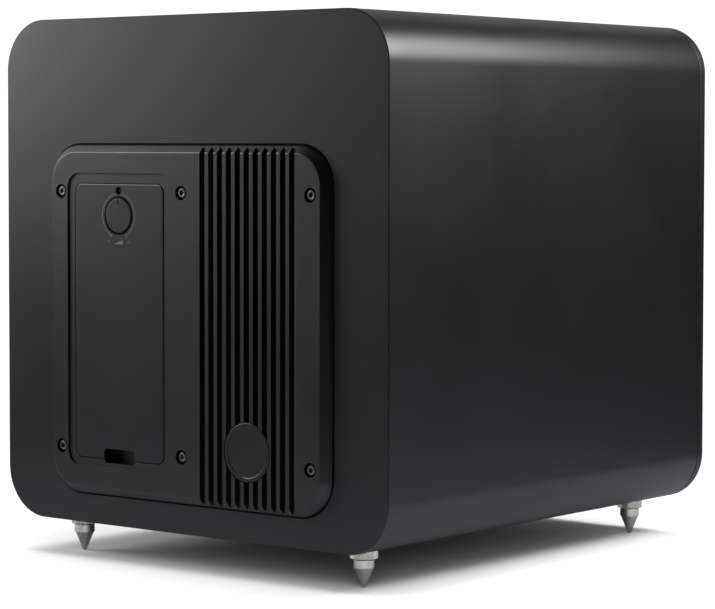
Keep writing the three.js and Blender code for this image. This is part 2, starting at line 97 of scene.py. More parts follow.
def mmbox(node):
    lo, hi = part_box(node)
    return [v / MM for v in lo], [v / MM for v in hi]


def centre(node):
    lo, hi = mmbox(node)
    return [(a + b) / 2 for a, b in zip(lo, hi)]


# ------------------------------------------------------------------ places taken from the frame
_c0, _c1 = mmbox("cabinet_shell")
FOOT, TOP, HALF, YR, YS = _c0[2], _c1[2], _c1[0], _c1[1], _c0[1]
_b0, _b1 = mmbox("front_baffle")
YF, YB = _b0[1], _b1[1]
CAB_W, CAB_H, CAB_R = 2 * HALF, TOP - FOOT, 27.4
ZC = (TOP + FOOT) / 2
_p0, _p1 = mmbox("amp_plate")
PL_W, PL_H, PL_Z, PL_BACK, PL_FACE = _p1[0] - _p0[0], _p1[2] - _p0[2], (_p0[2] + _p1[2]) / 2, YR + 0.4, _p1[1]
PL_R, PL_CH = 21.0, 4.4
_v0, _v1 = mmbox("cover_panel")
COL = (_v0[0] + _v1[0]) / 2
COV_LO, COV_HI, COV_FACE = _v0[2], _v1[2], _v1[1] + 0.3
COV_BACK = PL_FACE - 2.1
_k = centre("level_knob")
KNOB_Z, KNOB_FACE = _k[2], mmbox("level_knob")[1][1]
LED_Z = centre("led_lens")[2]
BADGE_X, _, BADGE_Z = centre("badge_disc")
_d = centre("driver_basket")
DZ, DY = _d[2], mmbox("driver_basket")[0][1]
WELL_W, WELL_LO, WELL_HI = 57.0, FOOT + 42, FOOT + 183
NOTCH_W, NOTCH_LO, NOTCH_HI, NOTCH_Y = 22.6, FOOT + 34.4, FOOT + 42.2, YR - 4
FLOOR_Y = 100.0

# ------------------------------------------------------------------ mesh helpers


def link(name, me):
    ob = bpy.data.objects.new(name, me)
    scene.collection.objects.link(ob)
    return ob


def mesh_from(name, verts, faces):
    me = bpy.data.meshes.new(name)
    me.from_pydata([(x * MM, y * MM, z * MM) for x, y, z in verts], [], faces)
    bm = bmesh.new()
    bm.from_mesh(me)
    bmesh.ops.remove_doubles(bm, verts=bm.verts, dist=1e-7)
    bmesh.ops.recalc_face_normals(bm, faces=bm.faces)
    bm.to_mesh(me)
    bm.free()
    me.update()
    return link(name, me)


def loops(name, rings, ring=False, cap0=True, cap1=True):
    n, m, verts, faces = len(rings[0]), len(rings), [v for r in rings for v in r], []
    for s in range(m if ring else m - 1):
        a, b = s * n, ((s + 1) % m) * n
        for i in range(n):
            j = (i + 1) % n
            faces.append((a + i, a + j, b + j, b + i))
    if not ring and cap0:
        faces.append(tuple(range(n))[::-1])
    if not ring and cap1:
        faces.append(tuple(range((m - 1) * n, m * n)))
    return mesh_from(name, verts, faces)


def rr(w, h, r, cx=0.0, cz=0.0, nc=16, ns=10):
    """Rounded rectangle in X-Z with the same point count for any size."""
    out = []
    corners = [(1, 1, 0), (-1, 1, 90), (-1, -1, 180), (1, -1, 270)]
    for q, (sx, sz, a0) in enumerate(corners):
        ox, oz = cx + sx * (w / 2 - r), cz + sz * (h / 2 - r)
        for k in range(nc + 1):
            a = math.radians(a0 + 90 * k / nc)
            out.append((ox + r * math.cos(a), oz + r * math.sin(a)))
        nx, nz, na = corners[(q + 1) % 4]
        ex, ez = cx + nx * (w / 2 - r) + r * math.cos(math.radians(na)), cz + nz * (h / 2 - r) + r * math.sin(math.radians(na))
        px, pz = out[-1]
        for k in range(1, ns):
            out.append((px + (ex - px) * k / ns, pz + (ez - pz) * k / ns))
    return out


def at(pts, y):
    return [(x, y, z) for x, z in pts]


def circle_like(pts, r, cx, cz):
    """Circle whose points lie in the same directions as those of an outline."""
    out = []
    for x, z in pts:
        a = math.atan2(z - cz, x - cx)
        out.append((cx + r * math.cos(a), cz + r * math.sin(a)))
    return out


def rounded(profile, radius, n=3):
    """Rounds the inner corners of an open polyline; radius is one number or one per point."""
    out, m = [], len(profile)
    for i, p in enumerate(profile):
        r = radius[i] if isinstance(radius, (list, tuple)) else radius
        if i in (0, m - 1) or r <= 0:
            out.append(tuple(p))
            continue
        a, b, c = Vector(profile[i - 1]), Vector(p), Vector(profile[i + 1])
        u, v = (a - b), (c - b)
        lu, lv = u.length, v.length
        if lu < 1e-6 or lv < 1e-6:
            out.append(tuple(p))
            continue
        u.normalize(), v.normalize()
        ang = math.acos(max(-1, min(1, u.dot(v))))
        if ang > math.radians(176):
            out.append(tuple(p))
            continue
        t = min(r / math.tan(ang / 2), lu * 0.48, lv * 0.48)
        rad = t * math.tan(ang / 2)
        s, e = b + u * t, b + v * t
        cen = b + (u + v).normalized() * (rad / math.sin(ang / 2))
        a0, a1 = math.atan2(s.y - cen.y, s.x - cen.x), math.atan2(e.y - cen.y, e.x - cen.x)
        d = (a1 - a0 + math.pi) % (2 * math.pi) - math.pi
        for k in range(n + 1):
            w = a0 + d * k / n
            out.append((cen.x + rad * math.cos(w), cen.y + rad * math.sin(w)))
    return out


def lathe(name, profile, seg, cx, cz, axis="Y", cy=0.0, closed=False, mod=None):
    """Solid of revolution. Profile points are (radius, height along the axis). mod(i, k, r, h) may change a point."""
    verts, faces, ringids = [], [], []
    for i, (r, h) in enumerate(profile):
        ids = []
        if r < 1e-6:
            ids = [len(verts)] * seg
            verts.append((cx, h, cz) if axis == "Y" else (cx, cy, h))
        else:
            for k in range(seg):
                a = 2 * math.pi * k / seg
                rr_, hh = (r, h) if mod is None else mod(i, k, r, h)
                x, z = rr_ * math.cos(a), rr_ * math.sin(a)
                ids.append(len(verts))
                verts.append((cx + x, hh, cz + z) if axis == "Y" else (cx + x, cy + z, hh))
        ringids.append(ids)
    m = len(profile)
    for s in range(m if closed else m - 1):
        a, b = ringids[s], ringids[(s + 1) % m]
        for k in range(seg):
            j = (k + 1) % seg
            f = []
            for v in (a[k], a[j], b[j], b[k]):
                if v not in f:
                    f.append(v)
            if len(f) > 2:
                faces.append(tuple(f))
    return mesh_from(name, verts, faces)


def boxmesh(name, x0, x1, y0, y1, z0, z1):
    v = [(x, y, z) for x in (x0, x1) for y in (y0, y1) for z in (z0, z1)]
    f = [(0, 1, 3, 2), (4, 6, 7, 5), (0, 4, 5, 1), (2, 3, 7, 6), (0, 2, 6, 4), (1, 5, 7, 3)]
    return mesh_from(name, v, f)


def prism(name, pts, y0, y1):
    return loops(name, [at(pts, y0), at(pts, y1)])


def bake(ob):
    """Applies an object's modifiers."""
    dg = bpy.context.evaluated_depsgraph_get()
    me = bpy.data.meshes.new_from_object(ob.evaluated_get(dg), preserve_all_data_layers=True, depsgraph=dg)
    old = ob.data
    ob.modifiers.clear()
    ob.data = me
    me.name = ob.name
    if old.users == 0:
        bpy.data.meshes.remove(old)
    return ob


def carve(ob, cutters, how="DIFFERENCE"):
    for c in cutters:
        m = ob.modifiers.new("cut", "BOOLEAN")
        m.operation, m.solver, m.object = how, "EXACT", c
        bake(ob)
        bpy.data.objects.remove(c)
    return ob


def weld(ob, dist=1e-6):
    bm = bmesh.new()
    bm.from_mesh(ob.data)
    bmesh.ops.remove_doubles(bm, verts=bm.verts, dist=dist)
    bmesh.ops.dissolve_degenerate(bm, dist=dist, edges=bm.edges)
    bm.to_mesh(ob.data)
    bm.free()
    return ob


def edges(ob, width, seg=2, angle=40):
    bm = bmesh.new()
    bm.from_mesh(ob.data)
    bmesh.ops.remove_doubles(bm, verts=bm.verts, dist=1e-6)
    bmesh.ops.dissolve_degenerate(bm, dist=1e-6, edges=bm.edges)
    bm.to_mesh(ob.data)
    bm.free()
    m = ob.modifiers.new("edge", "BEVEL")
    m.width, m.segments, m.limit_method, m.angle_limit = width * MM, seg, "ANGLE", math.radians(angle)
    m.use_clamp_overlap = True
    return bake(ob)


def smooth(ob, angle=38, weighted=True):
    me = ob.data
    me.polygons.foreach_set("use_smooth", [True] * len(me.polygons))
    me.set_sharp_from_angle(angle=math.radians(angle))
    if weighted:
        m = ob.modifiers.new("wn", "WEIGHTED_NORMAL")
        m.keep_sharp, m.weight, m.mode = True, 60, "FACE_AREA"
        bake(ob)
    return ob


def done(ob, body, material, replaces=(), angle=38, weighted=True):
    smooth(ob, angle, weighted)
    ob.data.materials.clear()
    ob.data.materials.append(material)
    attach(ob, body)
    if replaces:
        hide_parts(*replaces)
    return ob


# ------------------------------------------------------------------ materials


class Mat:
    def __init__(self, name, color, rough, metal=0.0, **sockets):
        self.m = bpy.data.materials.new(name)
        self.m.use_nodes = True
        self.nt = self.m.node_tree
        self.b = self.nt.nodes["Principled BSDF"]
        self.b.inputs["Base Color"].default_value = (*color, 1)
        self.b.inputs["Roughness"].default_value = rough
        self.b.inputs["Metallic"].default_value = metal
        for k, v in sockets.items():
            self.b.inputs[k.replace("_", " ")].default_value = v
        self.color, self.rough = color, rough
        self.co = self.nt.nodes.new("ShaderNodeTexCoord").outputs["Object"]
        self.normal = None

    def node(self, kind, **props):
        n = self.nt.nodes.new(kind)
        for k, v in props.items():
            setattr(n, k, v)
        return n

    def wire(self, a, b):
        self.nt.links.new(a, b)

    def stretched(self, sx, sy, sz):
        n = self.node("ShaderNodeMapping")
        n.inputs["Scale"].default_value = (sx, sy, sz)
        self.wire(self.co, n.inputs["Vector"])
        return n.outputs["Vector"]

    def noise(self, scale, detail=3.0, rough=0.55, vector=None):
        n = self.node("ShaderNodeTexNoise")
        n.inputs["Scale"].default_value = scale
        n.inputs["Detail"].default_value = detail
        n.inputs["Roughness"].default_value = rough
        self.wire(vector if vector is not None else self.co, n.inputs["Vector"])
        return n.outputs["Fac"]

    def spread(self, fac, lo, hi, a=0.0, b=1.0):
        n = self.node("ShaderNodeMapRange")
        n.inputs["From Min"].default_value, n.inputs["From Max"].default_value = lo, hi
        n.inputs["To Min"].default_value, n.inputs["To Max"].default_value = a, b
        self.wire(fac, n.inputs["Value"])
        return n.outputs["Result"]

    def vary_color(self, fac, other, lo=0.3, hi=0.7):
        n = self.node("ShaderNodeMix", data_type="RGBA")
        n.inputs["A"].default_value, n.inputs["B"].default_value = (*self.color, 1), (*other, 1)
        self.wire(self.spread(fac, lo, hi), n.inputs["Factor"])
        src = self.b.inputs["Base Color"]
        if src.is_linked:
            old = src.links[0].from_socket
            self.wire(old, n.inputs["A"])
        self.wire(n.outputs["Result"], src)
        return self

    def vary_rough(self, fac, amount, lo=0.3, hi=0.7):
        self.wire(self.spread(fac, lo, hi, self.rough - amount, self.rough + amount), self.b.inputs["Roughness"])
        return self

    def bump(self, fac, strength, distance=0.0002):
        n = self.node("ShaderNodeBump")
        n.inputs["Strength"].default_value = strength
        n.inputs["Distance"].default_value = distance
        self.wire(fac, n.inputs["Height"])
        if self.normal is not None:
            self.wire(self.normal, n.inputs["Normal"])
        self.normal = n.outputs["Normal"]
        self.wire(self.normal, self.b.inputs["Normal"])
        return self


def paint(name, color, rough, grain=1400, peel=260, strength=0.12, tint=1.25, metal=0.0, spec=0.5, **kw):
    m = Mat(name, color, rough, metal, **kw)
    m.b.inputs["Specular IOR Level"].default_value = spec
    m.vary_color(m.noise(grain, 2.0), tuple(c * tint for c in color), 0.35, 0.75)
    m.vary_rough(m.noise(14, 4.0), 0.03)
    m.bump(m.noise(grain, 2.0), strength, 0.00006)
    m.bump(m.noise(peel, 2.0), strength * 0.6, 0.00012)
    return m


M_CAB = paint("cabinet_paint", (0.0034, 0.0034, 0.0038), 0.40, grain=2300, peel=420, strength=0.16)
M_BAF = paint("baffle_paint", (0.003, 0.003, 0.0032), 0.45, grain=2300, peel=420, strength=0.16)
M_PLATE = paint("plate_anodised", (0.0024, 0.0022, 0.0022), 0.39, grain=1900, peel=800, strength=0.5, tint=2.2, spec=0.56)
M_PLATE.b.inputs["Specular Tint"].default_value = (1.0, 0.972, 0.975, 1)
M_COVER = paint("cover_paint", (0.0028, 0.0028, 0.0032), 0.40, grain=2600, peel=700, strength=0.2)
M_COVER.b.inputs["Specular Tint"].default_value = (0.965, 0.965, 1.0, 1)
M_SCREW = paint("black_oxide", (0.16, 0.157, 0.152), 0.30, grain=3000, peel=800, strength=0.15, metal=0.8)
M_KNOB = paint("knob_satin", (0.004, 0.004, 0.0044), 0.36, grain=3200, peel=900, strength=0.2)
M_DARK = Mat("slot_shadow", (0.004, 0.004, 0.004), 0.7)
M_DARK.vary_color(M_DARK.noise(900), (0.007, 0.007, 0.007))
M_PLASTIC = paint("moulded_plastic", (0.012, 0.012, 0.0125), 0.5, grain=1800, peel=500, strength=0.35)
M_ROCKER = paint("rocker_gloss", (0.013, 0.013, 0.0135), 0.28, grain=1500, peel=300, strength=0.05)
M_RUBBER = Mat("surround_rubber", (0.0085, 0.0085, 0.0088), 0.58)
M_RUBBER.vary_color(M_RUBBER.noise(160, 5), (0.013, 0.013, 0.0135))
M_RUBBER.vary_rough(M_RUBBER.noise(60, 4), 0.05)
M_RUBBER.bump(M_RUBBER.noise(1600, 3), 0.25, 0.00006)
# painted shade: near-black matte lip with almost no gloss, standing for the shadow gap round the plate
M_SHADOW_GAP_LIP = Mat("shadow_gap_lip", (0.0012, 0.0012, 0.0012), 0.95)
M_SHADOW_GAP_LIP.b.inputs["Specular IOR Level"].default_value = 0.05
M_SHADOW_GAP_LIP.vary_color(M_SHADOW_GAP_LIP.noise(800), (0.002, 0.002, 0.002))
M_SEAL = Mat("seal_foam", (0.009, 0.009, 0.009), 0.85)
M_SEAL.vary_color(M_SEAL.noise(1200), (0.016, 0.016, 0.016))
M_SEAL.bump(M_SEAL.noise(1500, 3), 0.5, 0.0001)

# turned nickel: fine rings round a vertical axis come from stretched noise
M_NICKEL = Mat("satin_nickel", (0.54, 0.525, 0.47), 0.22, 1.0)
M_NICKEL.vary_color(M_NICKEL.noise(300, 3), (0.62, 0.605, 0.55))
_turn = M_NICKEL.noise(1.0, 2.0, 0.5, M_NICKEL.stretched(180, 180, 5200))
M_NICKEL.vary_rough(_turn, 0.07)
M_NICKEL.bump(_turn, 0.22, 0.00003)
M_BRIGHT = Mat("bright_nickel", (0.7, 0.68, 0.63), 0.2, 1.0)
M_BRIGHT.vary_rough(M_BRIGHT.noise(220, 3), 0.06)
M_BRIGHT.vary_color(M_BRIGHT.noise(80, 3), (0.6, 0.58, 0.53))
M_ZINC = Mat("zinc_steel", (0.46, 0.46, 0.46), 0.36, 1.0)
M_ZINC.vary_color(M_ZINC.noise(140, 4), (0.6, 0.6, 0.58))
M_ZINC.vary_rough(M_ZINC.noise(300, 3), 0.08)
M_ZINC.bump(M_ZINC.noise(900, 3), 0.1, 0.00004)
M_BADGE = Mat("badge_brushed", (0.012, 0.012, 0.0125), 0.36, 0.3)
_br = M_BADGE.noise(1.0, 3.0, 0.6, M_BADGE.stretched(120, 400, 5200))
M_BADGE.vary_color(_br, (0.02, 0.02, 0.0205))
M_BADGE.vary_rough(_br, 0.07)
M_BADGE.bump(_br, 0.15, 0.00003)
M_LENS = Mat("led_lens", (0.0016, 0.0014, 0.0014), 0.3)
M_LENS.b.inputs["Specular IOR Level"].default_value = 0.25
M_LENS.vary_color(M_LENS.noise(500), (0.003, 0.002, 0.002))
M_PRINT = Mat("dial_print", (0.27, 0.27, 0.27), 0.55)
M_PRINT.vary_color(M_PRINT.noise(1600, 2), (0.21, 0.21, 0.21))
M_FRAME = paint("powder_coat", (0.013, 0.013, 0.0135), 0.5, grain=1500, peel=600, strength=0.5)
M_CONE = Mat("cone_fibre", (0.0125, 0.0125, 0.0135), 0.5)
M_CONE.vary_color(M_CONE.noise(240, 6, 0.7), (0.022, 0.022, 0.0235))
M_CONE.vary_rough(M_CONE.noise(90, 4), 0.06)
M_CONE.bump(M_CONE.noise(700, 5, 0.7), 0.5, 0.00012)
M_FERRITE = Mat("ferrite", (0.03, 0.03, 0.031), 0.75)
M_FERRITE.vary_color(M_FERRITE.noise(120, 5), (0.05, 0.05, 0.05))
M_FERRITE.bump(M_FERRITE.noise(500, 4), 0.4, 0.0001)
M_COPPER = Mat("copper_winding", (0.45, 0.17, 0.065), 0.35, 0.9)
M_COPPER.vary_color(M_COPPER.noise(1.0, 2, 0.5, M_COPPER.stretched(300, 2600, 300)), (0.3, 0.1, 0.04))
M_COPPER.bump(M_COPPER.noise(1.0, 2, 0.5, M_COPPER.stretched(200, 2600, 200)), 0.6, 0.0002)
M_BOARD = Mat("board_lacquer", (0.012, 0.075, 0.032), 0.4)
M_BOARD.vary_color(M_BOARD.noise(60, 5), (0.02, 0.11, 0.045))
M_BOARD.bump(M_BOARD.noise(300, 3), 0.3, 0.0001)
M_MDF = Mat("fibre_board", (0.34, 0.22, 0.125), 0.85)
M_MDF.vary_color(M_MDF.noise(700, 5, 0.7), (0.24, 0.145, 0.08))
M_MDF.bump(M_MDF.noise(900, 4), 0.4, 0.00015)
M_WAD = Mat("wadding", (0.2, 0.2, 0.205), 0.95)
M_WAD.vary_color(M_WAD.noise(180, 7, 0.75), (0.1, 0.1, 0.105))
M_WAD.bump(M_WAD.noise(220, 6, 0.75), 0.9, 0.002)
M_SPIDER = Mat("spider_cloth", (0.42, 0.24, 0.07), 0.8)
M_SPIDER.vary_color(M_SPIDER.noise(900, 3), (0.3, 0.16, 0.05))
M_SPIDER.bump(M_SPIDER.noise(1500, 3), 0.6, 0.0001)
M_WIRE = paint("wire_sheath", (0.02, 0.02, 0.021), 0.45, grain=1500, peel=500, strength=0.2)

# ------------------------------------------------------------------ camera, as in the fitted view
YAW, PITCH, ROLL = 0.8907727, 0.047401, 0.0010881
eye = Vector((-947.29, 1174.16, 227.8)) * MM
fwd0 = Vector((math.cos(YAW), -math.sin(YAW), 0))
right0 = Vector((-math.sin(YAW), -math.cos(YAW), 0))
down0 = Vector((0, 0, -1))
fwd = fwd0 * math.cos(PITCH) + down0 * math.sin(PITCH)
down = down0 * math.cos(PITCH) - fwd0 * math.sin(PITCH)
right = right0 * math.cos(ROLL) - down * math.sin(ROLL)
down = right0 * math.sin(ROLL) + down * math.cos(ROLL)
cam_data = bpy.data.cameras.new("camera")
cam = bpy.data.objects.new("camera", cam_data)
scene.collection.objects.link(cam)
cam.matrix_world = Matrix((
    (right.x, -down.x, -fwd.x, eye.x),
    (right.y, -down.y, -fwd.y, eye.y),
    (right.z, -down.z, -fwd.z, eye.z),
    (0, 0, 0, 1),
))
cam_data.sensor_fit = "HORIZONTAL"
cam_data.sensor_width = 36.0
cam_data.lens = 2661.593 / 715 * 36
cam_data.shift_x = 0.0
cam_data.shift_y = -(304.5 - 268.0) / 715
cam_data.clip_start, cam_data.clip_end = 0.05, 60
scene.camera = cam

# ------------------------------------------------------------------ twin lead from the amplifier case to the driver terminal


def through(points, per):
    """Centripetal Catmull-Rom curve through the route's points."""
    pts = [Vector(q) for q in points]
    pts = [pts[0] * 2 - pts[1]] + pts + [pts[-1] * 2 - pts[-2]]
    out = []
    for i in range(1, len(pts) - 2):
        a, b, c, d = pts[i - 1:i + 3]
        d0, d1, d2 = math.sqrt((b - a).length), math.sqrt((c - b).length), math.sqrt((d - c).length)
        t1 = ((b - a) / d0 - (c - a) / (d0 + d1) + (c - b) / d1) * d1
        t2 = ((c - b) / d1 - (d - b) / (d1 + d2) + (d - c) / d2) * d1
        for k in range(per):
            w = k / per
            out.append(b + t1 * w + (-3 * b + 3 * c - 2 * t1 - t2) * w * w + (2 * b - 2 * c + t1 + t2) * w ** 3)
    return out + [pts[-2]]


LEAD = through([(-40, 77, FOOT + 44), (-40, 62, FOOT + 43), (-36, 38, FOOT + 50), (-28, 4, FOOT + 56), (-16, -40, FOOT + 52), (-6, -76, FOOT + 52), (0, -92, FOOT + 52)], 12)
rings, side, run = [], Vector((1, 0, 0)), 0.0
for i, q in enumerate(LEAD):
    ahead = (LEAD[min(i + 1, len(LEAD) - 1)] - LEAD[max(i - 1, 0)]).normalized()
    side = (side - ahead * side.dot(ahead)).normalized()
    up = ahead.cross(side)
    run += (q - LEAD[i - 1]).length if i else 0.0
    turn = run / 80 * math.pi
    row = []
    for k in range(24):
        a = 2 * math.pi * k / 24
        u, v = 2.0 * math.cos(a), math.sin(a) * (0.5 + 1.6 * math.cos(a) ** 2)
        row.append(tuple(q + side * (u * math.cos(turn) - v * math.sin(turn)) + up * (u * math.sin(turn) + v * math.cos(turn))))
    rings.append(row)
lead = loops("twin_lead", rings)
done(lead, "cabinet", M_WIRE.m, ["speaker_lead"], 50, weighted=False)

# ------------------------------------------------------------------ cabinet
NCS = dict(nc=22, ns=22)


def edge_rings(w, h, r, cz, y_from, y_to, e, n=4):
    """Rings from y_from (full size) rounding over by e onto the plane y_to."""
    s = 1 if y_to > y_from else -1
    out = []
    for k in range(n + 1):
        a = math.pi / 2 * k / n
        inset = e * (1 - math.cos(a))
        out.append(at(rr(w - 2 * inset, h - 2 * inset, r - inset, 0, cz, **NCS), y_to - s * e * (1 - math.sin(a))))
    return out


def in_rr(w, h, r, y):
    return at(rr(w, h, r, 0, ZC, **NCS), y)


rings = []
rings += edge_rings(CAB_W, CAB_H, CAB_R, ZC, YS + 40, YS, 0.5)[::-1]
for y in (YS + 60, YS + 130, YR - 60, YR - 12):
    rings.append(in_rr(CAB_W, CAB_H, CAB_R, y))
rings += edge_rings(CAB_W, CAB_H, CAB_R, ZC, YR - 20, YR, 0.5)
rings.append(at(rr(CAB_W - 12, CAB_H - 12, CAB_R - 6, 0, ZC, **NCS), YR))
rings.append(at(rr(165, 171, 7, 0, PL_Z, **NCS), YR))
rings.append(at(rr(164, 170, 6, 0, PL_Z, **NCS), YR - 0.5))
rings.append(at(rr(164, 170, 6, 0, PL_Z, **NCS), YR - 15))
rings.append(in_rr(CAB_W - 30, CAB_H - 30, CAB_R - 15, YR - 15))
rings.append(in_rr(CAB_W - 30, CAB_H - 30, CAB_R - 15, YS))
cab = loops("cabinet_skin", rings, ring=True)
cuts = []
for name in ("front_left", "front_right", "rear_left", "rear_right"):
    c = centre("spike_" + name)
    cuts.append(lathe("tmp_thread", [(0, FOOT - 1), (4.5, FOOT - 1), (4.5, FOOT + 13), (0, FOOT + 13)], 32, c[0], 0, "Z", cy=c[1]))
for sx in (-1, 1):
    for sz in (-1, 1):
        cuts.append(lathe("tmp_pilot", [(0, YR - 13), (1.8, YR - 13), (1.8, YR + 1), (0, YR + 1)], 16, sx * 88.3, PL_Z + sz * 69.4))
carve(cab, cuts)
done(cab, "cabinet", M_CAB.m, ["cabinet_shell"], 30)

out_f = rr(CAB_W, CAB_H, CAB_R, 0, ZC, **NCS)
rings = []
rings += edge_rings(CAB_W, CAB_H, CAB_R, ZC, YF + 3, YF + 6, 0.5)[::-1]
rings += edge_rings(CAB_W, CAB_H, CAB_R, ZC, YF + 3, YF, 1.2)
rings.append(at(rr(CAB_W - 10, CAB_H - 10, CAB_R - 5, 0, ZC, **NCS), YF))
for r, y in rounded([(116, YF), (112.2, YF), (110.5, YF + 1.7), (110.5, DY + 5.3), (96.5, DY + 5.3), (96.5, YF + 21.9), (98, YF + 22)], [0, 0.4, 0.4, 0.3, 0.3, 0, 0], 2):
    rings.append(at(circle_like(out_f, r, 0, DZ), y))
rings.append(in_rr(CAB_W - 30.8, CAB_H - 30.8, CAB_R - 15.4, YF + 22))
rings.append(in_rr(CAB_W - 30.8, CAB_H - 30.8, CAB_R - 15.4, YF + 6))
baf = loops("baffle_panel", rings, ring=True)
carve(baf, [lathe("tmp_pilot", [(0, DY + 1), (2.5, DY + 1), (2.5, DY + 14), (0, DY + 14)], 16, 105.2 * math.cos(math.radians(30 + 60 * k)), DZ + 105.2 * math.sin(math.radians(30 + 60 * k))) for k in range(6)])
done(baf, "cabinet", M_BAF.m, ["front_baffle"], 30)

# ------------------------------------------------------------------ amplifier plate
NP = dict(nc=14, ns=6)


def pl(inset, y):
    return at(rr(PL_W - 2 * inset, PL_H - 2 * inset, PL_R - inset, 0, PL_Z, **NP), y)


edge = rounded([(0.0, PL_BACK), (0.1, PL_BACK + 0.15), (0.75, PL_BACK + 1.35), (PL_CH, PL_FACE), (PL_CH + 6, PL_FACE)], [0, 0.1, 0.2, 0.9, 0], 5)
plate = loops("plate_casting", [pl(i, y) for i, y in edge])
inner = prism("tmp_inner", rr(161, 167, 5, 0, PL_Z, nc=4, ns=1), YR - 8, PL_BACK + 1)
carve(plate, [inner], "UNION")
cuts = []
REC = rr(75.5, 158.4, 8.0, COL, PL_Z + 0.1, nc=12, ns=1)
cuts.append(prism("tmp_rec", REC, PL_FACE - 1.0, PL_FACE + 1))
PK_W, PK_Z, PK_H, PK_C = _v1[0] - _v0[0] + 0.8, (COV_LO + COV_HI) / 2, COV_HI - COV_LO + 0.8, 3.2
px0, px1, pz0, pz1 = COL - PK_W / 2, COL + PK_W / 2, PK_Z - PK_H / 2, PK_Z + PK_H / 2
POCKET = [(px1, pz1 - PK_C), (px1 - PK_C, pz1), (px0 + PK_C, pz1), (px0, pz1 - PK_C), (px0, pz0 + PK_C), (px0 + PK_C, pz0), (px1 - PK_C, pz0), (px1, pz0 + PK_C)]
cuts.append(prism("tmp_pocket", POCKET, PL_FACE - 2.4, PL_FACE + 1))
cuts.append(prism("tmp_well", rr(WELL_W, WELL_HI - WELL_LO, 4, COL, (WELL_LO + WELL_HI) / 2, nc=6, ns=1), YR - 9, PL_FACE + 1))
cuts.append(prism("tmp_notch", rr(NOTCH_W, WELL_LO + 6 - NOTCH_LO, 2.2, COL, (WELL_LO + 6 + NOTCH_LO) / 2, nc=6, ns=1), NOTCH_Y, PL_FACE + 1))
for k in range(11):
    x = -COL + (k - 5) * 6.13
    cuts.append(boxmesh("tmp_slot%d" % k, x - 1.825, x + 1.825, PL_FACE - 2.8, PL_FACE + 1, PL_Z - 110, PL_Z + 110))
cuts.append(lathe("tmp_badge", [(0, PL_FACE - 1.6), (15.8, PL_FACE - 1.6), (15.8, PL_FACE + 1), (0, PL_FACE + 1)], 72, -COL, BADGE_Z))
SCREWS = []
for sz in (1, -1):
    for sx in (-1, 0, 1):
        x, z = sx * 88.3, PL_Z + sz * 69.4
        SCREWS.append((x, z))
        cuts.append(lathe("tmp_cb", [(0, YR - 9), (1.8, YR - 9), (1.8, PL_FACE - 3.8), (3.85, PL_FACE - 3.8), (3.85, PL_FACE + 1), (0, PL_FACE + 1)], 32, x, z))
carve(plate, cuts)
edges(plate, 0.2, 2, 50)
done(plate, "cabinet", M_PLATE.m, ["amp_plate"], 35)

# seal under the plate: its lip is a near-black ring of painted shade standing for the shadow gap round the outline,
# showing as a fine black line
lip = rounded([(9.0, YR + 0.34), (9.0, YR + 0.02), (-0.62, YR + 0.02), (-0.62, YR + 0.3), (-0.45, YR + 0.36), (9.0, YR + 0.36)], 0, 1)
seal = loops("plate_seal_lip", [pl(i, y) for i, y in lip[:-1] + [(8.9, YR + 0.36)]], ring=True)
done(seal, "cabinet", M_SHADOW_GAP_LIP.m, ["amp_gasket"], 35)

# ------------------------------------------------------------------ plate screws
for i, (x, z) in enumerate(SCREWS):
    end = YR - 7 if abs(x) < 1 else YR - 12
    prof = [(0, end), (1.1, end), (1.5, end + 0.6), (1.5, PL_FACE - 3.5)]
    prof += rounded([(2.5, PL_FACE - 3.5), (2.5, PL_FACE - 0.75), (0, PL_FACE - 0.75)], [0, 0.4, 0], 4)
    s = lathe("plate_screw_%d" % (i + 1), prof, 48, x, z)
    hexa = [(x + 1.45 * math.cos(math.radians(60 * q + 12 * i)), z + 1.45 * math.sin(math.radians(60 * q + 12 * i))) for q in range(6)]
    carve(s, [prism("tmp_hex", hexa, PL_FACE - 2.7, PL_FACE)])
    edges(s, 0.12, 2, 50)
    done(s, "cabinet", M_SCREW.m, ["amp_screw_%d" % (i + 1)], 40)

# ------------------------------------------------------------------ badge: a plain round plate
b = lathe("badge_plate", [(0, PL_FACE - 1.3), (15.4, PL_FACE - 1.3)] + rounded([(15.4, PL_FACE - 1.0), (15.4, PL_FACE - 0.05), (13.4, PL_FACE - 0.05), (13.1, PL_FACE - 0.3), (12.6, PL_FACE - 0.3), (0, PL_FACE - 0.3)], [0, 0.5, 0.15, 0.1, 0.1, 0], 3), 96, -COL, BADGE_Z)
done(b, "cabinet", M_BADGE.m, ["badge_disc"], 45)

# ------------------------------------------------------------------ cover
ch, cz = COV_HI - COV_LO, (COV_LO + COV_HI) / 2


def cov(inset, y):
    w, h, c = COV_W - 2 * inset, ch - 2 * inset, 3.0 - 0.5 * inset
    x0, x1, z0, z1 = COL - w / 2, COL + w / 2, cz - h / 2, cz + h / 2
    return [(x1, y, z1 - c), (x1 - c, y, z1), (x0 + c, y, z1), (x0, y, z1 - c), (x0, y, z0 + c), (x0 + c, y, z0), (x1 - c, y, z0), (x1, y, z0 + c)]


